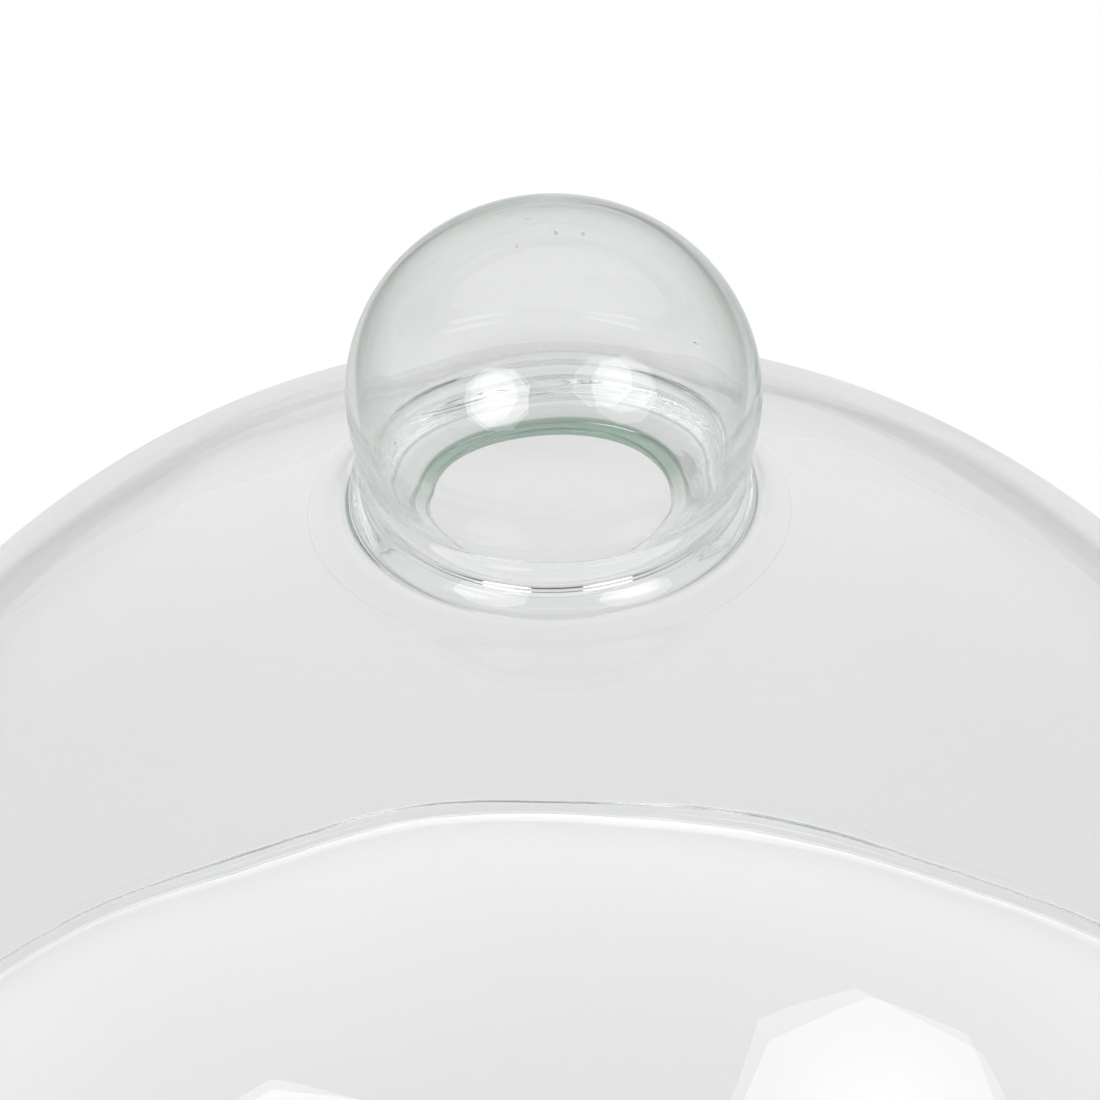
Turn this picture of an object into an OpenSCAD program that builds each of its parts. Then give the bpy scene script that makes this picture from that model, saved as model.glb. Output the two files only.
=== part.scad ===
// Hand-blown clear glass bell jar dome (display cloche) with a hollow ball knob.
// Millimetres. +Z is up. The origin is on the dome's axis, in the plane the rim
// rests on, so the dome stands on z = 0.
//
// The bell is a straight skirt, a shoulder arc and a crown arc that meet
// tangentially. A thick collar of glass closes the crown and flares up to the
// waist, where the hollow ball sits. The collar's round throat joins the inside
// of the ball to the inside of the bell. Every piece is a half section, drawn
// with x as the distance from the axis and y as the height, and then revolved.

/* [Bell] */
// Outside diameter of the glass skirt
outer_d = 285; // [240:1:330]
// Height of the straight skirt, from the resting plane to the start of the shoulder
skirt_h = 28; // [15:1:60]
// Thickness of the blown wall
wall = 3.2; // [2.6:0.1:4.5]
// Shoulder arc radius as a share of the bell's outside radius
shoulder_k = 0.968; // [0.92:0.004:0.984]
// Crown arc radius as a share of the bell's outside radius
crown_k = 1.067; // [1.03:0.001:1.15]

/* [Rim] */
// Height of the fire-polished rim, from the resting plane to its seam with the skirt
rim_h = 7; // [6:0.5:10]
// Radius of the rounded bead along the rim
bead_r = 2.0; // [1.8:0.1:2.4]
// How far the bead is ground flat where it rests
land_cut = 0.1; // [0.05:0.01:0.2]

/* [Neck collar] */
// Height of the waist above the top of the crown arc
neck_rise = 5.3; // [4:0.1:8]
// Radius of the round throat between the bell and the ball
throat_r = 18.5; // [14:0.5:19]
// Height of the lip round the throat, above the underside of the crown
lip_h = 1.4; // [1.2:0.1:2]
// Rounding of the lip's upper edge
lip_round = 0.5; // [0.3:0.1:0.5]
// Rounding of the throat's lower edge
throat_round = 0.6; // [0.3:0.1:0.6]

/* [Ball knob] */
// Widest diameter of the ball
ball_d = 62.4; // [58:0.2:68]
// How much less the ball measures from its centre to its top than to its side
ball_flat = 1.0; // [0.4:0.1:2]
// Height of the ball's centre above the waist
ball_seat = 11.5; // [10:0.1:14]
// Wall of the ball at its side
ball_wall = 2.1; // [1.8:0.1:2.8]
// Wall of the ball at its top
ball_top_wall = 1.8; // [1.5:0.1:2.4]

/* [Hidden] */

// facets of a full circle: revolved bodies and large arcs, flare, small roundings
$fn = 360;
flare_fn = 180;
round_fn = 96;

// how far cutting shapes reach past the glass: outside the bell, and at small cuts
reach = 10;
overlap = 1;

outer_r = outer_d / 2;
inner_r = outer_r - wall;

// height of the bead's centre
bead_z = bead_r - land_cut;

// shoulder arc: centre (shoulder_x, skirt_h)
shoulder_r = shoulder_k * outer_r;
shoulder_x = outer_r - shoulder_r;

// crown arc: centre (0, crown_z); it meets the shoulder at join_a from the axis
crown_r = crown_k * outer_r;
join_a = asin(shoulder_x / (crown_r - shoulder_r));
crown_z = skirt_h - (crown_r - shoulder_r) * cos(join_a);
crown_top = crown_z + crown_r;

// waist, where the ball meets the collar
waist_z = crown_top + neck_rise;

// outside of the ball: arc centre (ball_flat, ball_z)
ball_z = waist_z + ball_seat;
ball_r = ball_d / 2 - ball_flat;
waist_r = ball_flat + sqrt(ball_r * ball_r - ball_seat * ball_seat);

// bowl, the inside of the ball: arc centre (ball_flat, bowl_z)
bowl_r = ball_r - ball_wall;
bowl_z = ball_z + ball_r - ball_top_wall - bowl_r;

// flare: a concave arc that leaves the waist upright and lands tangent on the crown
rise = waist_z - crown_z;
flare_r = (waist_r * waist_r + rise * rise - crown_r * crown_r) / (2 * (crown_r - waist_r));
flare_x = waist_r + flare_r;
crown_hole_r = flare_x * crown_r / (crown_r + flare_r);

// lower edge of the throat, on the underside of the crown
throat_z = crown_z + sqrt(pow(crown_r - wall, 2) - pow(throat_r + throat_round, 2));

// the bowl runs on down through the collar and ends on the lip
lip_z = throat_z + lip_h;

// foot of the collar's blank, well below the underside of the crown
blank_z = crown_z + crown_r / 2;

// half section of the bell, filled to the axis, drawn in from the outside by inset
module bell_section(inset) {
    arc_r = crown_r - inset;
    square([outer_r - inset, skirt_h]);
    // shoulder
    intersection() {
        translate([shoulder_x, skirt_h]) circle(r = shoulder_r - inset);
        translate([0, skirt_h]) square([outer_r, outer_r]);
    }
    // crown
    intersection() {
        translate([0, crown_z]) circle(r = arc_r);
        translate([0, crown_z + arc_r * cos(join_a)])
            square([arc_r * sin(join_a), outer_r]);
    }
}

// rounds a square corner at (x, z) whose material lies to the right;
// side is 1 for an upper corner and -1 for a lower one
module corner_cut(x, z, radius, side) {
    translate([x, z]) scale([1, side]) difference() {
        translate([-overlap, -radius]) square([radius + overlap, radius + overlap]);
        translate([radius, -radius]) circle(r = radius, $fn = round_fn);
    }
}

// fire-polished rim: a bead proud of the skirt on the outside, flush on the inside
module rim_bead() {
    color([0.80, 0.90, 0.86, 0.45])
    rotate_extrude() difference() {
        union() {
            translate([inner_r, bead_z]) square([wall, rim_h - bead_z]);
            translate([inner_r + bead_r, bead_z]) circle(r = bead_r, $fn = round_fn);
        }
        // ground flat
        translate([0, -bead_r]) square([outer_r + reach, bead_r]);
    }
}

// blown bell: skirt, shoulder and crown, open at the rim and at the neck
module bell_shell() {
    color([0.88, 0.94, 0.92, 0.30])
    rotate_extrude() difference() {
        bell_section(0);
        bell_section(wall);
        // room for the rim
        square([outer_r + reach, rim_h]);
        // room for the collar
        square([crown_hole_r, crown_top + reach]);
    }
}

// thick ring of glass fused into the crown: flare outside, throat and lip inside
module neck_collar() {
    color([0.74, 0.87, 0.81, 0.50])
    rotate_extrude() difference() {
        translate([throat_r, blank_z])
            square([crown_hole_r - throat_r, waist_z - blank_z]);
        // underside of the crown
        translate([0, crown_z]) circle(r = crown_r - wall);
        // flare
        translate([flare_x, waist_z]) circle(r = flare_r, $fn = flare_fn);
        // bowl, down to the lip
        intersection() {
            translate([ball_flat, bowl_z]) circle(r = bowl_r);
            translate([0, lip_z]) square([outer_r, outer_r]);
        }
        corner_cut(throat_r, lip_z, lip_round, 1);
        corner_cut(throat_r, throat_z, throat_round, -1);
    }
}

// hollow blown ball, cut open at the waist, a little flatter than a sphere
module knob_ball() {
    color([0.82, 0.91, 0.88, 0.40])
    rotate_extrude() intersection() {
        // everything above the waist
        translate([0, waist_z]) square([ball_d, ball_d]);
        difference() {
            // outside, with the small flat at the top
            union() {
                translate([ball_flat, ball_z]) circle(r = ball_r);
                translate([0, ball_z]) square([ball_flat, ball_r]);
            }
            // bowl, and the core between its arc's centre and the axis
            translate([ball_flat, bowl_z]) circle(r = bowl_r);
            translate([0, waist_z - overlap])
                square([ball_flat, bowl_z + bowl_r - waist_z + overlap]);
        }
    }
}

rim_bead();
bell_shell();
neck_collar();
knob_ball();
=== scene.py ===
"""A blown-glass bell: rim bead, bell shell, neck collar and a hollow ball knob on top.

It stands on the floor at z = 0 with its axis on Z. The camera looks down at it from -Y.
The glass is worked out in mm, as (r, z) profiles turned round the axis; the scene is in metres.
"""
import math

import bpy
import numpy as np
from mathutils import Matrix, Vector


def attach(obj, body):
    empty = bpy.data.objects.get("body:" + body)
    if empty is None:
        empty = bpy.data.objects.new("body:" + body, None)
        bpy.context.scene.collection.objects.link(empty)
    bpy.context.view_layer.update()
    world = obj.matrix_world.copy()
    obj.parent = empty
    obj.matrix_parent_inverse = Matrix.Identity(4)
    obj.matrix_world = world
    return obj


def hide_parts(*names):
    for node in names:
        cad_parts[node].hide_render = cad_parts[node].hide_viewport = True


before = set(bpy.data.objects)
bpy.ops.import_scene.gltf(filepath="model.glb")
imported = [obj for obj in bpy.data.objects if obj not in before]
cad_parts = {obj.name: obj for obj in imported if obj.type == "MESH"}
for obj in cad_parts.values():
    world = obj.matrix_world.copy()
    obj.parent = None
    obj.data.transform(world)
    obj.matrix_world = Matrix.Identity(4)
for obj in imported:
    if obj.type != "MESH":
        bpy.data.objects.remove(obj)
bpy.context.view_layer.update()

scene = bpy.context.scene

MM = 0.001
SEGMENTS = 320              # round the axis
GAP = 0.010                 # half the hair-thin gap between two pieces
POINT_STEP = 0.03           # spacing of the drawn profile's points
SAMPLE_STEP = 0.04          # spacing of the softened profile's points

# ---------------------------------------------------------------- sizes of the glass, mm
WALL = 3.2
SKIRT_R = 142.5
SKIRT_IN_R = SKIRT_R - WALL
SKIRT_TOP = 28.0
RIM_SEAM_Z = 7.0            # rim bead to bell shell
BEAD, BEAD_RADIUS = (141.3, 1.9), 2.0
SHOULDER = (4.56, SKIRT_TOP)
SHOULDER_RADIUS = SKIRT_R - SHOULDER[0]
SHOULDER_END = 90 - 18.86   # degrees, where shoulder meets crown
CROWN, CROWN_RADIUS = (0.0, 14.65), 152.05
HOLE_R = 36.563             # bell shell to neck collar
WAIST_R, WAIST_Z = 28.92, 172.0     # neck collar to ball knob
FLARE = (38.95, WAIST_Z)
FLARE_RADIUS = FLARE[0] - WAIST_R
BALL, BALL_RADIUS = (1.0, 183.5), 30.2
BALL_IN, BALL_IN_RADIUS = (1.0, 183.8), 28.1
BALL_IN_FOOT_R = 21.0       # the ball's hollow ends here, above the lip
RING_Z = 162.0              # flat ring round the throat
RING_OUT_R = 24.0
RING_HANDLE_R = 27.0        # handle of the curve that runs into the ring
RING_TURN_R = 31.5          # where the collar's underside leaves the flare
THROAT_R, THROAT_ROUND = 18.5, 1.2
LIP_Z = 168.2               # top of the throat


# ---------------------------------------------------------------- profile
def on_arc(centre, radius, angle):
    """The point of an arc at an angle in degrees, from +r towards +z."""
    turn = math.radians(angle)
    return np.array([centre[0] + radius * math.cos(turn), centre[1] + radius * math.sin(turn)])


def heading(angle):
    return on_arc((0.0, 0.0), 1.0, angle)


def angle_to(centre, point):
    return math.degrees(math.atan2(point[1] - centre[1], point[0] - centre[0]))


def arc(centre, radius, start, end):
    steps = max(int(abs(math.radians(end - start)) * radius / POINT_STEP), 8)
    turn = np.radians(np.linspace(start, end, steps + 1))
    return np.stack([centre[0] + radius * np.cos(turn), centre[1] + radius * np.sin(turn)], -1)


def line(start, end):
    start, end = np.array(start, float), np.array(end, float)
    steps = max(int(np.hypot(*(end - start)) / POINT_STEP), 2)
    return start + (end - start) * np.linspace(0, 1, steps + 1)[:, None]


def bezier(start, handle_a, handle_b, end, count=900):
    t = np.linspace(0, 1, count)[:, None]
    a, b, c, d = (np.array(p, float) for p in (start, handle_a, handle_b, end))
    return (1 - t) ** 3 * a + 3 * t * (1 - t) ** 2 * b + 3 * t * t * (1 - t) * c + t ** 3 * d


def join(*parts):
    """Strings parts together, dropping the points they share."""
    joined = [parts[0]]
    for part in parts[1:]:
        shared = np.hypot(*(part[0] - joined[-1][-1])) < 1e-6
        joined.append(part[1:] if shared else part)
    return np.concatenate(joined)


bead_foot = math.degrees(math.asin(-BEAD[1] / BEAD_RADIUS))
crown_start = angle_to(CROWN, on_arc(SHOULDER, SHOULDER_RADIUS, SHOULDER_END))


def outer_profile():
    """From the floor up over the crown and the ball to the axis."""
    bead_end = math.degrees(math.acos((SKIRT_R - BEAD[0]) / BEAD_RADIUS))
    crown_end = math.degrees(math.acos(HOLE_R / CROWN_RADIUS))
    hole_z = CROWN[1] + math.sqrt(CROWN_RADIUS ** 2 - HOLE_R ** 2)
    flare_start = angle_to(FLARE, (HOLE_R, hole_z)) % 360
    ball_start = math.degrees(math.asin((WAIST_Z - BALL[1]) / BALL_RADIUS))
    ball_top = BALL[1] + BALL_RADIUS
    return join(
        arc(BEAD, BEAD_RADIUS, bead_foot, bead_end),
        line(on_arc(BEAD, BEAD_RADIUS, bead_end), (SKIRT_R, SKIRT_TOP)),
        arc(SHOULDER, SHOULDER_RADIUS, 0, SHOULDER_END),
        arc(CROWN, CROWN_RADIUS, crown_start, crown_end),
        arc(FLARE, FLARE_RADIUS, flare_start, 180),
        arc(BALL, BALL_RADIUS, ball_start, 90),
        line((BALL[0], ball_top), (0.0, ball_top)),
    )


def inner_profile():
    """The same way inside: under the flare, round the throat and up through the hollow ball."""
    under_radius = FLARE_RADIUS + WALL
    under_start = angle_to(FLARE, CROWN) % 360
    under_end = 180.0 + math.degrees(math.acos((FLARE[0] - RING_TURN_R) / under_radius))
    under = on_arc(FLARE, under_radius, under_end)
    round_c = (THROAT_R + THROAT_ROUND, RING_Z + THROAT_ROUND)
    lip_angle = -math.degrees(math.acos((BALL_IN_FOOT_R - BALL_IN[0]) / BALL_IN_RADIUS))
    lip = on_arc(BALL_IN, BALL_IN_RADIUS, lip_angle)
    ball_top = BALL_IN[1] + BALL_IN_RADIUS
    return join(
        arc(BEAD, BEAD_RADIUS, 180 - bead_foot, 180),
        line((SKIRT_IN_R, BEAD[1]), (SKIRT_IN_R, SKIRT_TOP)),
        arc(SHOULDER, SHOULDER_RADIUS - WALL, 0, SHOULDER_END),
        arc(CROWN, CROWN_RADIUS - WALL, crown_start, under_start - 180.0),
        arc(FLARE, under_radius, under_start, under_end),
        bezier(under, under + 3.0 * heading(under_end - 90),
               (RING_HANDLE_R, RING_Z), (RING_OUT_R, RING_Z)),
        line((RING_OUT_R, RING_Z), (round_c[0], RING_Z)),
        arc(round_c, THROAT_ROUND, 270, 180),
        bezier((THROAT_R, round_c[1]), (THROAT_R, RING_Z + 2.0),
               lip - 1.1 * heading(lip_angle + 90), lip, count=120),
        arc(BALL_IN, BALL_IN_RADIUS, lip_angle, 90),
        line((BALL_IN[0], ball_top), (0.0, ball_top)),
    )


class Curve:
    """A profile in (r, z), softened where the hot glass ran together, with its arc length."""

    BEND_PER_ROW = 0.045            # radians of bend that one row of faces may take
    ROW_MIN, ROW_MAX = 0.10, 2.2    # row heights, mm

    def __init__(self, points, soft, inside):
        self.inside = inside
        gaps = np.hypot(*np.diff(points, axis=0).T)
        length = np.r_[0, np.cumsum(gaps)]
        keep = np.r_[True, gaps > 1e-9]
        length, points = length[keep], points[keep]
        even = np.linspace(0, length[-1], int(length[-1] / SAMPLE_STEP) + 1)
        even_points = np.stack([np.interp(even, length, points[:, i]) for i in (0, 1)], -1)
        self.points = self.soften(even_points, soft)
        self.length = np.r_[0, np.cumsum(np.hypot(*np.diff(self.points, axis=0).T))]

        tangents = np.stack([np.gradient(self.points[:, i], self.length) for i in (0, 1)], -1)
        tangents[-1] = (-1.0, 0.0)
        self.tangents = tangents / np.hypot(*tangents.T)[:, None]
        direction = np.unwrap(np.arctan2(self.tangents[:, 1], self.tangents[:, 0]))
        turn = np.abs(np.gradient(direction, self.length))
        bend = np.convolve(np.pad(turn, 8, "edge"), np.ones(17) / 17, "valid")
        self.row_height = np.clip(self.BEND_PER_ROW / np.maximum(bend, 1e-6),
                                  self.ROW_MIN, self.ROW_MAX)

    @staticmethod
    def soften(points, soft):
        """Gaussian blur along the profile, soft being its width in mm."""
        reach = int(3 * soft / SAMPLE_STEP)
        weights = np.exp(-0.5 * (np.arange(-reach, reach + 1) * SAMPLE_STEP / soft) ** 2)
        weights /= weights.sum()
        head = 2 * points[0] - points[1:reach + 1][::-1]                # mirror at the rim
        tail = points[-reach - 1:-1][::-1] * np.array([-1.0, 1.0])      # mirror in the axis
        longer = np.concatenate([head, points, tail])
        blurred = np.stack([np.convolve(longer[:, i], weights, "valid") for i in (0, 1)], -1)
        blurred[0] = points[0]
        blurred[-1, 0] = 0.0
        return blurred

    def at(self, s):
        return np.stack([np.interp(s, self.length, self.points[:, i]) for i in (0, 1)], -1)

    def tangent(self, s):
        t = np.stack([np.interp(s, self.length, self.tangents[:, i]) for i in (0, 1)], -1)
        return t / np.hypot(*t.T)[:, None]

    def where(self, values, after=0.0):
        """Arc length at which values, one for each point, first climb through zero."""
        climbs = (values[:-1] < 0) & (values[1:] >= 0) & (self.length[:-1] >= after)
        i = int(np.argmax(climbs))
        part = values[i] / (values[i] - values[i + 1])
        return self.length[i] + (self.length[i + 1] - self.length[i]) * part

    def cuts(self):
        """Arc lengths where the four pieces meet."""
        r, z = self.points.T
        hole = self.where(HOLE_R - r)
        return self.where(z - RIM_SEAM_Z), hole, self.where(z - WAIST_Z, after=hole)

    def rows(self, start, end):
        """Arc lengths of the mesh rows, closer together where the profile bends."""
        between = (self.length > start) & (self.length < end)
        s = np.r_[start, self.length[between], end]
        density = 1.0 / np.interp(s, self.length, self.row_height)
        total = np.r_[0, np.cumsum((density[1:] + density[:-1]) / 2 * np.diff(s))]
        count = max(int(math.ceil(total[-1])), 3)
        return np.interp(np.linspace(0, total[-1], count + 1), total, s)


INNER = Curve(inner_profile(), soft=0.22, inside=True)
OUTER = Curve(outer_profile(), soft=0.30, inside=False)


# ---------------------------------------------------------------- hand-blown unevenness
def waves(seed, count, longest, shortest):
    """Fixed plane waves that add up to a smooth, uneven field of about unit size."""
    random = np.random.RandomState(seed)
    directions = random.normal(size=(count, 3))
    directions /= np.linalg.norm(directions, axis=1)[:, None]
    lengths = np.exp(random.uniform(math.log(shortest), math.log(longest), count))
    heights = (lengths / longest) ** 0.8
    heights /= math.sqrt((heights ** 2).sum() / 2)
    phases = random.uniform(0, 2 * math.pi, count)
    return directions * (2 * math.pi / lengths)[:, None], phases, heights


def field(wave_set, points):
    total = np.zeros(points.shape[:-1])
    for direction, phase, height in zip(*wave_set):
        total += height * np.sin(points @ direction + phase)
    return total


def ramp(x, start, end):
    """0 before start, 1 after end, smooth between."""
    t = np.clip((x - start) / (end - start), 0, 1)
    return t * t * (3 - 2 * t)


SWAY_X, SWAY_Y, SWAY_Z = (waves(seed, 9, 260.0, 90.0) for seed in (11, 12, 13))
BELL_WAVES = waves(21, 16, 120.0, 26.0)
BALL_WAVES = waves(31, 10, 60.0, 22.0)
SWAY = 0.28                         # mm
BELL_UNEVEN, BALL_UNEVEN = 0.24, 0.16   # mm, of the inner skin
BELL_WAVE_SHARE = 0.75
KNOB_SHIFT = 1.75                   # mm, the knob sits off the axis towards +X
KNOB_SQUASH = 0.032                 # the ball sagged a little under its own weight


def settle(points):
    """Bends the whole space a little, the same for all pieces, so that they stay joined."""
    z = points[..., 2]
    up = ramp(z, 0.0, 40.0)
    top = ramp(z, 150.0, 178.0)
    sideways = SWAY * (1 - 0.55 * top)
    bent = points.copy()
    bent[..., 0] += sideways * field(SWAY_X, points) + KNOB_SHIFT * top
    bent[..., 1] += sideways * field(SWAY_Y, points)
    bent[..., 2] += (SWAY * up * (1 - 0.6 * top) * field(SWAY_Z, points)
                     - KNOB_SQUASH * np.maximum(z - WAIST_Z, 0.0))
    return bent


def spin(profile, angles):
    """Turns (r, z) pairs round the axis: one row for each pair, one column for each angle."""
    cos, sin = np.cos(angles)[None, :], np.sin(angles)[None, :]
    r, z = profile[:, :1], profile[:, 1:]
    return np.stack([r * cos, r * sin, z + 0 * cos], -1)


def surface(curve, s, angles):
    """Points of a skin of the glass at arc lengths s, in mm."""
    profile, tangent = curve.at(s), curve.tangent(s)
    points = spin(profile, angles)
    if curve.inside:
        away = spin(np.stack([tangent[:, 1], -tangent[:, 0]], -1), angles)
        z = profile[:, 1]
        bell = ramp(z, 4.0, 14.0) * (1 - ramp(z, 150.0, 160.0))
        ball = ramp(z, 174.0, 182.0)
        amount = (BELL_UNEVEN * bell + BALL_UNEVEN * ball)[:, None]
        uneven = (BELL_WAVE_SHARE * field(BELL_WAVES, points) * bell[:, None]
                  + field(BALL_WAVES, points) * ball[:, None])
        points = points + away * (amount * uneven)[..., None]
    return settle(points)


def unit(vectors):
    return vectors / np.maximum(np.linalg.norm(vectors, axis=-1), 1e-12)[..., None]


def skin_normals(curve, s, angles):
    """Normals by small differences along the profile (mm) and round the axis (radians)."""
    along, around = 0.02, 1e-4
    before = np.maximum(s - along, 0)
    after = np.minimum(s + along, curve.length[-1] - 1e-4)
    climb = surface(curve, after, angles) - surface(curve, before, angles)
    turn = surface(curve, s, angles + around) - surface(curve, s, angles - around)
    normals = unit(np.cross(turn, climb))
    return -normals if curve.inside else normals


# ---------------------------------------------------------------- mesh
ANGLES = np.arange(SEGMENTS) * 2 * math.pi / SEGMENTS
# painted shade: the throat's dark green tint lies on its +Y side only
THROAT_SHADE_SHARE = [float(ramp(math.sin(angle), -0.25, 0.35)) for angle in ANGLES]


class Builder:
    """Collects rings of points and the faces between them, with the normal at each corner."""

    def __init__(self):
        self.points, self.faces, self.normals = [], [], []
        self.face_values = {"seam": [], "ground": [], "edge": []}
        self.count = 0

    def ring(self, points):
        first = self.count
        self.points.append(points)
        self.count += len(points)
        return first

    def face(self, corners, normals, flip=False, seam=0.0, ground=0, edge=0.0):
        if flip:
            corners, normals = corners[::-1], normals[::-1]
        self.faces.append(corners)
        self.normals += normals
        for name, value in (("seam", seam), ("ground", ground), ("edge", edge)):
            self.face_values[name].append(value)

    def strip(self, a, b, normals_a, normals_b, flip, seam=0.0, ground=0, edge=0.0):
        for j in range(SEGMENTS):
            k = (j + 1) % SEGMENTS
            self.face([a + j, a + k, b + k, b + j],
                      [normals_a[j], normals_a[k], normals_b[k], normals_b[j]],
                      flip, seam, ground, edge * THROAT_SHADE_SHARE[j])

    def fan(self, a, pole, normals, pole_normal, flip):
        for j in range(SEGMENTS):
            k = (j + 1) % SEGMENTS
            self.face([a + j, a + k, pole], [normals[j], normals[k], pole_normal], flip)

    def sheet(self, curve, start, end, to_pole):
        """One skin of the glass. Returns its first and last ring, with their points."""
        s = curve.rows(start, end)
        if to_pole:
            s = s[:-1]
            if curve.length[-1] - s[-1] < 0.12:
                s = s[:-1]
        points, normals = surface(curve, s, ANGLES), skin_normals(curve, s, ANGLES)
        rings = [self.ring(row) for row in points]
        for i in range(len(rings) - 1):
            r, z = curve.at(np.array([(s[i] + s[i + 1]) / 2]))[0]
            # the throat's faces get painted shade, strongest where it is narrowest
            in_throat = curve.inside and RING_Z + 0.1 < z < LIP_Z
            edge = float(ramp(21.6 - r, 0.0, 0.7)) if in_throat else 0.0
            self.strip(rings[i], rings[i + 1], normals[i], normals[i + 1], curve.inside,
                       edge=edge)
        if to_pole:
            tip = surface(curve, np.array([curve.length[-1]]), ANGLES[:1])[0]
            pole_normal = np.array([0.0, 0.0, -1.0 if curve.inside else 1.0])
            self.fan(rings[-1], self.ring(tip), normals[-1], pole_normal, curve.inside)
        return (rings[0], points[0]), (rings[-1], points[-1])

    def bridge(self, inner, outer, top, seam, ground=0, steps=4):
        """Closes the wall between the two skins, at the piece's top or its bottom."""
        (inner_ring, inner_points), (outer_ring, outer_points) = inner, outer
        rings, rows = [inner_ring], [inner_points]
        for i in range(1, steps):
            row = inner_points + (outer_points - inner_points) * i / steps
            rings.append(self.ring(row))
            rows.append(row)
        rings.append(outer_ring)
        rows.append(outer_points)
        for i in range(steps):
            across = rows[i + 1] - rows[i]
            along = np.roll(rows[i], -1, 0) - np.roll(rows[i], 1, 0)
            normals = unit(np.cross(across, along))
            if not top:
                normals = -normals
            self.strip(rings[i], rings[i + 1], normals, normals, top, seam, ground)

    def bubble(self, centre, half_length, radius, along, sides=14, rings=9):
        """A small bubble caught in the wall: a hollow whose faces look into it."""
        along = np.array(along) / np.linalg.norm(along)
        side = np.cross(along, [0.3, 0.2, 0.93])
        side /= np.linalg.norm(side)
        third = np.cross(along, side)
        points, normals = [], []
        for i in range(1, rings):
            a = math.pi * i / rings
            for j in range(sides):
                b = 2 * math.pi * j / sides
                x, y, z = math.cos(a), math.sin(a) * math.cos(b), math.sin(a) * math.sin(b)
                points.append(centre + along * x * half_length
                              + side * y * radius + third * z * radius)
                outward = along * x / half_length + side * y / radius + third * z / radius
                normals.append(-outward / np.linalg.norm(outward))
        points += [centre + along * half_length, centre - along * half_length]
        normals += [-along, along]
        base = self.ring(np.array(points))
        front_pole, back_pole = len(points) - 2, len(points) - 1

        def inward_face(*corners):
            a, b, c = (points[i] for i in corners[:3])
            flip = np.dot(np.cross(b - a, c - a), centre - a) < 0
            self.face([base + i for i in corners], [normals[i] for i in corners], flip)

        for i in range(rings - 2):
            low, high = i * sides, (i + 1) * sides
            for j in range(sides):
                k = (j + 1) % sides
                inward_face(low + j, low + k, high + k, high + j)
        last = (rings - 2) * sides
        for j in range(sides):
            k = (j + 1) % sides
            inward_face(j, k, front_pole)
            inward_face(last + j, last + k, back_pole)

    def build(self, name, material):
        mesh = bpy.data.meshes.new(name)
        mesh.from_pydata((np.concatenate(self.points) * MM).tolist(), [], self.faces)
        mesh.validate()
        mesh.polygons.foreach_set("use_smooth", [True] * len(mesh.polygons))
        for value_name, values in self.face_values.items():
            attribute = mesh.attributes.new(value_name, "FLOAT", "FACE")
            attribute.data.foreach_set("value", np.array(values, np.float32))
        mesh.normals_split_custom_set([tuple(normal) for normal in self.normals])
        mesh.materials.append(material)
        mesh.update()
        ob = bpy.data.objects.new(name, mesh)
        scene.collection.objects.link(ob)
        return ob


# ---------------------------------------------------------------- shader helpers
class Shader:
    """The node tree of a material or world."""

    def __init__(self, owner, clear=True):
        owner.use_nodes = True
        self.tree = owner.node_tree
        if clear:
            self.tree.nodes.clear()

    def feed(self, node, inputs):
        """Sets inputs, by name or number, to a value or links them to a socket."""
        for key, value in inputs.items():
            if isinstance(value, bpy.types.NodeSocket):
                self.tree.links.new(value, node.inputs[key])
            else:
                node.inputs[key].default_value = value

    def add(self, kind, inputs=None, **settings):
        node = self.tree.nodes.new("ShaderNode" + kind)
        for key, value in settings.items():
            setattr(node, key, value)
        self.feed(node, inputs or {})
        return node

    def maths(self, operation, *operands, clamp=False):
        inputs = dict(enumerate(operands))
        return self.add("Math", inputs, operation=operation, use_clamp=clamp).outputs[0]

    def multiply(self, a, b):
        return self.maths("MULTIPLY", a, b)

    def invert(self, value):
        return self.maths("SUBTRACT", 1.0, value)

    def remap(self, value, start, end, low, high, interpolation="SMOOTHSTEP"):
        """Maps start..end to low..high."""
        inputs = {"Value": value, "From Min": start, "From Max": end,
                  "To Min": low, "To Max": high}
        return self.add("MapRange", inputs, interpolation_type=interpolation).outputs["Result"]

    def mix(self, factor, a, b, data_type="RGBA"):
        inputs = {"Factor": factor, "A": a, "B": b}
        return self.add("Mix", inputs, data_type=data_type).outputs["Result"]

    def face_value(self, name):
        return self.add("Attribute", attribute_name=name).outputs["Fac"]

    def stretched(self, vector, scale):
        return self.add("Mapping", {"Vector": vector, "Scale": scale}).outputs[0]

    def noise(self, vector, **inputs):
        return self.add("TexNoise", {"Vector": vector, **inputs}).outputs["Fac"]


# ---------------------------------------------------------------- glass
GLASS_IOR = 1.5
CORD_TINT = (0.984, 0.996, 0.990)           # what a cord leaves of the tint
OUTLINE_TINT = (0.52, 0.60, 0.54, 1.0)      # where the glass is looked along
THROAT_SHADE_TINT = (0.20, 0.32, 0.24, 1.0)       # painted shade: the dark green of light led through the ring's whole depth, seen through the throat
WHITE = (1.0, 1.0, 1.0, 1.0)


def glass_colour(shader, place, seam, tint, outline):
    """Tint with faint cords: slow swirls of slightly greener glass round the axis; painted
    shade on the throat.
    """
    cords = shader.noise(shader.stretched(place, (14.0, 14.0, 60.0)),
                         Scale=1.0, Detail=3.0, Distortion=0.6)
    cord_tint = [min(channel * part, 1.0) for channel, part in zip(tint, CORD_TINT)]
    colour = shader.mix(cords, (*tint, 1.0), (*cord_tint, 1.0))
    grazing = shader.maths("POWER", shader.add("LayerWeight").outputs["Facing"], 3.0)
    colour = shader.mix(shader.multiply(grazing, outline), colour, OUTLINE_TINT)
    # painted shade: the throat's dark green band, on its +Y side
    colour = shader.mix(shader.face_value("edge"), colour, THROAT_SHADE_TINT)
    return shader.mix(seam, colour, WHITE)      # nothing is lost at a fused joint


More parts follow.
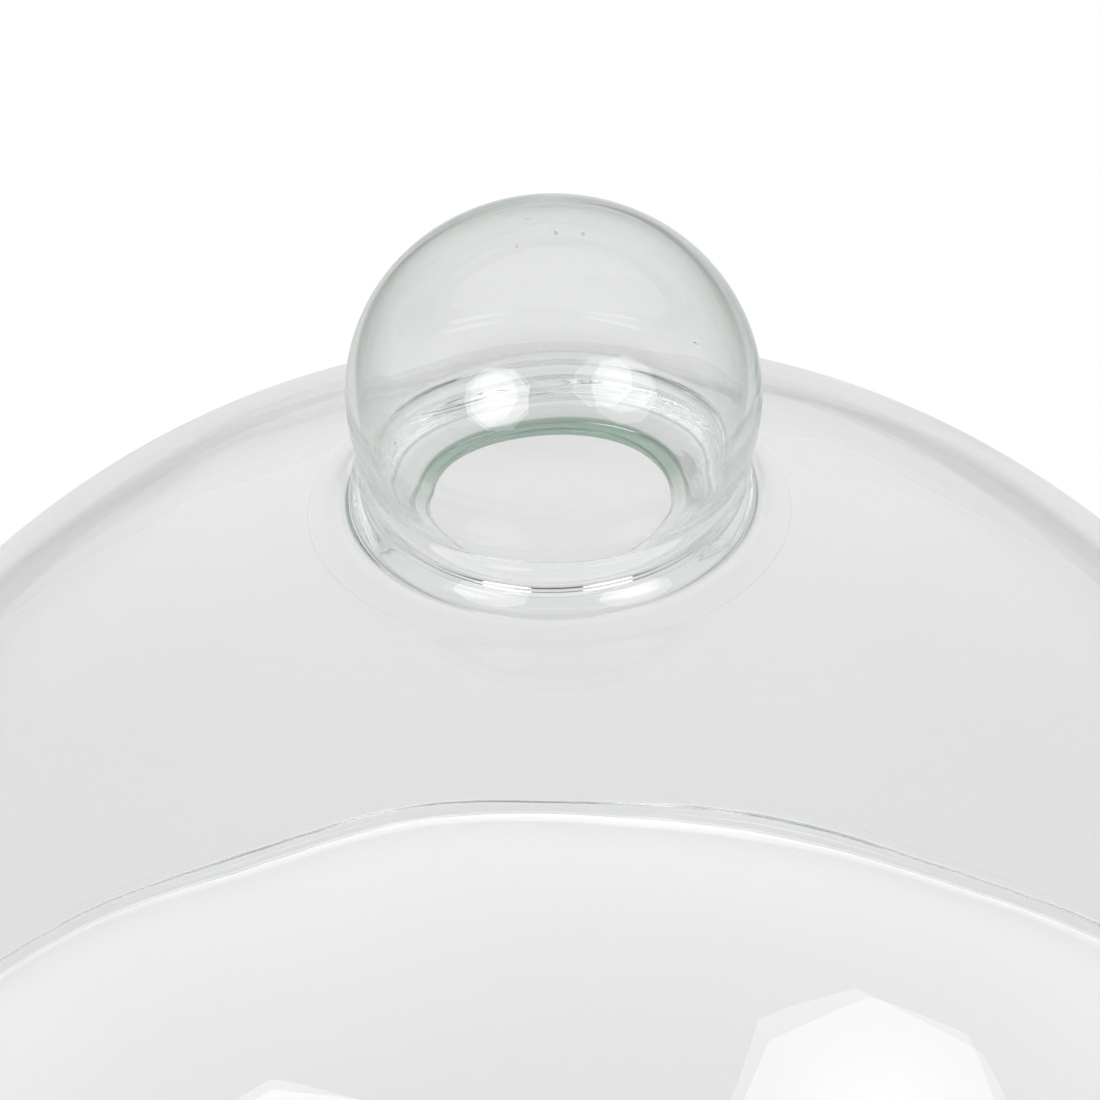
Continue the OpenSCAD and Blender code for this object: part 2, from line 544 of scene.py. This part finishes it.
def glass_roughness(shader, place, seam, haze):
    """Mirror-clear polish with a few barely duller wipe marks, and the ground foot."""
    wipe = shader.noise(place, Scale=38.0, Detail=5.0, Roughness=0.62)
    marks = shader.remap(wipe, 0.60, 0.78, 0.0, haze, interpolation="LINEAR")
    rough = shader.maths("MULTIPLY_ADD", shader.face_value("ground"), 0.30, marks)
    return shader.multiply(rough, shader.invert(seam))


def glass_skin(shader, place, ripple):
    """Long shallow ripples left by the mould and the reheating."""
    wave = shader.noise(shader.stretched(place, (34.0, 34.0, 70.0)), Scale=1.0, Detail=1.5)
    bump = {"Strength": 1.0, "Distance": ripple * MM, "Height": wave}
    return shader.add("Bump", bump).outputs[0]


def glass(name, tint, body, density, ripple, haze, outline=0.0):
    """Blown soda glass. tint: what the surface takes, body and density: the colour it gathers
    with depth, ripple: waviness of the skin in mm, haze: roughness of the wipe marks,
    outline: how much darker the glass is where it is looked along instead of through."""
    material = bpy.data.materials.new(name)
    shader = Shader(material)
    seam = shader.face_value("seam")
    place = shader.add("TexCoord").outputs["Object"]
    # at a seam the index falls to 1, so the joint doesn't show
    ior = shader.maths("SUBTRACT", GLASS_IOR, shader.multiply(seam, GLASS_IOR - 1.0))
    principled = shader.add("BsdfPrincipled", {
        "Transmission Weight": 1.0,
        "IOR": ior,
        "Base Color": glass_colour(shader, place, seam, tint, outline),
        "Roughness": glass_roughness(shader, place, seam, haze),
        "Normal": glass_skin(shader, place, ripple),
    })
    volume = shader.add("VolumeAbsorption", {"Color": (*body, 1.0), "Density": density})
    shader.add("OutputMaterial", {"Surface": principled.outputs[0],
                                  "Volume": volume.outputs[0]})
    return material


GREEN = (0.55, 0.86, 0.70)
SMOKE = (0.58, 0.665, 0.61)
MATERIALS = {
    "rim": glass("glass_rim", tint=(0.982, 0.982, 0.982), body=GREEN, density=0.8,
                 ripple=0.05, haze=0.03),
    "bell": glass("glass_bell", tint=(0.990, 0.984, 0.988), body=SMOKE, density=0.4,
                  ripple=0.05, haze=0.02),
    "collar": glass("glass_collar", tint=(0.985, 0.985, 0.985), body=SMOKE, density=7.0,
                    ripple=0.05, haze=0.02, outline=0.25),
    "knob": glass("glass_knob", tint=(0.992, 0.988, 0.991), body=SMOKE, density=13.0,
                  ripple=0.04, haze=0.02, outline=1.6),
}

# ---------------------------------------------------------------- the four bodies of glass
# bottom to top: material, CAD node, slot
PIECES = (
    ("rim", "rim_bead", "rim_glass"),
    ("bell", "bell_shell", "bell_glass"),
    ("collar", "neck_collar", "collar_glass"),
    ("knob", "knob_ball", "knob_glass"),
)
# elevation and azimuth on the ball in degrees, radius in mm
BUBBLES = (
    (88.6, -60, 0.30), (82.1, -18, 0.28), (79.3, -139, 0.20),
    (35, 98, 0.24), (8, -140, 0.18), (-6, 40, 0.22),
)
BUBBLE_STRETCH = 2.2
TOP_BUBBLE_ALONG = (0.1, -1.0, 0.1)     # direction of the bubbles near the ball's top


def glass_body(index):
    """Both skins of a piece, closed at its foot and, but for the knob, at its top."""
    piece = Builder()
    at_foot, at_top = index == 0, index == len(PIECES) - 1
    skins = []
    for curve in (INNER, OUTER):
        cuts = curve.cuts()
        start = 0.0 if at_foot else cuts[index - 1] + GAP
        end = curve.length[-1] if at_top else cuts[index] - GAP
        skins.append(piece.sheet(curve, start, end, to_pole=at_top))
    (inner_low, inner_high), (outer_low, outer_high) = skins
    piece.bridge(inner_low, outer_low, top=False, seam=0.0 if at_foot else 1.0,
                 ground=1 if at_foot else 0)
    if not at_top:
        piece.bridge(inner_high, outer_high, top=True, seam=1.0)
    return piece


def add_bubbles(piece):
    """Bubbles halfway through the ball's wall, most of them drawn out round the axis."""
    for elevation, azimuth, radius in BUBBLES:
        turn = math.radians(azimuth)
        outside = on_arc(BALL, BALL_RADIUS, elevation)
        r, z = outside + (on_arc(BALL_IN, BALL_IN_RADIUS, elevation) - outside) * 0.5
        centre = settle(np.array([[r * math.cos(turn), r * math.sin(turn), z]]))[0]
        around = (-math.sin(turn), math.cos(turn), 0.15)
        along = TOP_BUBBLE_ALONG if elevation > 70 else around
        piece.bubble(centre, radius * BUBBLE_STRETCH, radius, along)


for index, (look, cad_node, slot) in enumerate(PIECES):
    piece = glass_body(index)
    if look == "knob":
        add_bubbles(piece)
    ob = piece.build(cad_node + "_glass", MATERIALS[look])
    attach(ob, "root")
    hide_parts(cad_node)

# the hidden CAD nodes get the same finishes
for look, cad_node, _ in PIECES:
    cad_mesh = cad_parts[cad_node].data
    for i in range(len(cad_mesh.materials)):
        cad_mesh.materials[i] = MATERIALS[look]

# ---------------------------------------------------------------- camera
CAMERA_ELEVATION = math.radians(33.8)
CAMERA_ROLL = math.radians(-1.45)
CAMERA_DISTANCE = 0.855
CAMERA_AIM = Vector((0.0004, 0.0, 0.1550))


def add_camera():
    cos, sin = math.cos(CAMERA_ELEVATION), math.sin(CAMERA_ELEVATION)
    view = Vector((0.0, cos, -sin))
    level_right, level_up = Vector((1.0, 0.0, 0.0)), Vector((0.0, sin, cos))
    cos, sin = math.cos(CAMERA_ROLL), math.sin(CAMERA_ROLL)
    right = level_right * cos + level_up * sin
    up = level_up * cos - level_right * sin
    data = bpy.data.cameras.new("camera")
    data.lens = 183.3
    data.sensor_width = 36.0
    data.sensor_fit = "HORIZONTAL"
    data.clip_start = 0.01
    data.clip_end = 60.0
    camera = bpy.data.objects.new("camera", data)
    scene.collection.objects.link(camera)
    matrix = Matrix((right, up, -view)).transposed().to_4x4()
    matrix.translation = CAMERA_AIM - view * CAMERA_DISTANCE
    camera.matrix_world = matrix
    scene.camera = camera


add_camera()


# ---------------------------------------------------------------- floor
def flat(name, points):
    """A single face that belongs to the stage."""
    mesh = bpy.data.meshes.new(name)
    mesh.from_pydata([tuple(p) for p in points], [], [list(range(len(points)))])
    mesh.update()
    ob = bpy.data.objects.new(name, mesh)
    scene.collection.objects.link(ob)
    return ob


FLOOR_HALF, FLOOR_Z = 9, -2e-5
PAPER = 0.90                    # seen straight by the camera
# painted shade and light on the paper seen through or in the glass: distance from the origin in
# m, brightness
PAPER_SHADE_IN_GLASS = (
    (0.06, 0.745), (0.10, 0.765), (0.132, 0.80), (0.145, 0.70),
    (0.20, 0.705), (0.34, 0.75), (0.80, 0.73), (1.0, 0.62),
)
FOOT_GLOW_R, FOOT_GLOW_WIDTH = BEAD[0] * MM, 0.0028
FOOT_GLOW = 0.50


def floor_paper():
    """White paper with painted shade: a little darker where it is seen through the glass."""
    material = bpy.data.materials.new("floor_paper")
    shader = Shader(material, clear=False)
    camera_ray = shader.add("LightPath").outputs["Is Camera Ray"]
    position = shader.add("NewGeometry").outputs["Position"]
    distance = shader.add("VectorMath", {0: position}, operation="LENGTH").outputs["Value"]

    rings = shader.add("ValToRGB", {"Fac": distance})
    rings.color_ramp.interpolation = "EASE"
    stops = rings.color_ramp.elements
    while len(stops) < len(PAPER_SHADE_IN_GLASS):
        stops.new(0.5)
    for i, (place, value) in enumerate(PAPER_SHADE_IN_GLASS):
        stops[i].position = place
        stops[i].color = (value, value, value, 1.0)

    x = shader.add("SeparateXYZ", {0: position}).outputs["X"]
    # painted shade: darker towards both sides in x
    sides = shader.remap(shader.maths("ABSOLUTE", x), 0.26, 0.42, 1.0, 0.68)
    painted_shade_in_glass = shader.multiply(rings.outputs["Color"], sides)
    grey = shader.mix(camera_ray, painted_shade_in_glass, PAPER, data_type="FLOAT")
    colour = shader.add("CombineColor", {0: grey, 1: grey, 2: grey}).outputs[0]

    # light gathers under the clear foot
    off_ring = shader.maths("ABSOLUTE", shader.maths("SUBTRACT", distance, FOOT_GLOW_R))
    falloff = shader.multiply(off_ring, 1.0 / FOOT_GLOW_WIDTH)
    ring = shader.maths("SUBTRACT", 1.0, falloff, clamp=True)
    glow = shader.multiply(ring, shader.invert(camera_ray))
    shader.feed(shader.tree.nodes["Principled BSDF"], {
        "Base Color": colour,
        "Roughness": 1.0,
        "Specular IOR Level": 0.0,
        "Emission Color": WHITE,
        "Emission Strength": shader.multiply(glow, FOOT_GLOW),
    })
    return material


floor = flat("floor", [(x * FLOOR_HALF, y * FLOOR_HALF, FLOOR_Z)
                       for x, y in ((-1, -1), (1, -1), (1, 1), (-1, 1))])
floor.data.materials.append(floor_paper())

# ---------------------------------------------------------------- studio light
SOFTBOX_AIM = Vector((0.0013, 0.0, 0.160))


def softbox_light(name, centre, radius, edge, core):
    """Emission that is brighter in the middle, and clear to light that left a matt surface."""
    material = bpy.data.materials.new(name)
    shader = Shader(material)
    depth = shader.add("LightPath").outputs["Diffuse Depth"]
    direct = shader.maths("LESS_THAN", depth, 0.5)
    position = shader.add("NewGeometry").outputs["Position"]
    distance = shader.add("VectorMath", {0: position, 1: centre}, operation="DISTANCE")
    glow = shader.remap(distance.outputs["Value"], 0.0, radius * 0.95, core, edge)
    emission = shader.add("Emission", {"Strength": shader.multiply(direct, glow)})
    clear = shader.add("BsdfTransparent")
    mixed = shader.add("MixShader", {0: direct, 1: clear.outputs[0], 2: emission.outputs[0]})
    shader.add("OutputMaterial", {"Surface": mixed.outputs[0]})
    material.cycles.emission_sampling = "NONE"
    return material


def octabox(name, place, radius, turn, edge, core):
    """An eight-sided softbox turned by some degrees, seen only by way of the glass.
    edge and core are its brightness at the rim and in the middle."""
    centre = Vector(place)
    normal = (SOFTBOX_AIM - centre).normalized()
    x = Vector((0.0, 0.0, 1.0)).cross(normal).normalized()
    y = normal.cross(x)
    corners = []
    for i in range(8):
        a = math.radians(turn + i * 45)
        corners.append(centre + x * (radius * math.cos(a)) + y * (radius * math.sin(a)))
    ob = flat(name, corners)
    ob.visible_camera = False
    ob.visible_diffuse = False
    ob.visible_shadow = False
    ob.data.materials.append(softbox_light(name, centre, radius, edge, core))


octabox("softbox_left", place=(-1.103, -1.506, 1.242), radius=0.73, turn=5.4,
        edge=2.6, core=3.9)
octabox("softbox_right", place=(0.760, -0.733, 0.792), radius=0.425, turn=33.0,
        edge=2.1, core=3.2)

ROOM_LIGHT = 1.17               # for matt surfaces
CLEAR_VIEW = 0.88               # seen without a reflection


def studio_world():
    """An even room for matt surfaces and clear views, a shaded one for reflections."""
    world = bpy.data.worlds.new("studio")
    scene.world = world
    shader = Shader(world)
    path = shader.add("LightPath").outputs
    incoming = shader.add("NewGeometry").outputs["Incoming"]
    x, y, z = shader.add("SeparateXYZ", {0: incoming}).outputs
    away = shader.multiply(y, -1.0)     # direction of travel: +1 is away from the camera
    up = shader.multiply(z, -1.0)

    room = shader.remap(away, -0.75, 0.15, 0.14, 0.86)      # darker behind the camera
    shades = (
        shader.remap(up, 0.35, 0.95, 1.0, 0.85),            # overhead
        shader.remap(shader.maths("ABSOLUTE", x), 0.35, 0.80, 1.0, 0.70),   # both sides
        shader.remap(up, 0.02, 0.30, 0.80, 1.0),            # near the horizon
    )
    for shade in shades:
        room = shader.multiply(room, shade)

    mirrored = shader.maths("GREATER_THAN", path["Glossy Depth"], 0.5)
    seen = shader.maths("ADD", shader.multiply(room, mirrored),
                        shader.multiply(shader.invert(mirrored), CLEAR_VIEW))
    lit = shader.maths("GREATER_THAN", path["Diffuse Depth"], 0.5)
    strength = shader.maths("ADD", shader.multiply(lit, ROOM_LIGHT),
                            shader.multiply(shader.invert(lit), seen))
    background = shader.add("Background", {"Color": WHITE, "Strength": strength})
    shader.add("OutputWorld", {"Surface": background.outputs[0]})


studio_world()

# ---------------------------------------------------------------- render settings
scene.view_settings.view_transform = "Standard"
scene.view_settings.look = "None"
scene.view_settings.exposure = 0.0
scene.view_settings.gamma = 1.0
cycles = scene.cycles
cycles.max_bounces = 160
cycles.transmission_bounces = 128
cycles.glossy_bounces = 128
cycles.diffuse_bounces = 3
cycles.transparent_max_bounces = 32
cycles.caustics_refractive = True
cycles.caustics_reflective = True
cycles.blur_glossy = 0.0
cycles.sample_clamp_indirect = 10.0
cycles.use_denoising = True
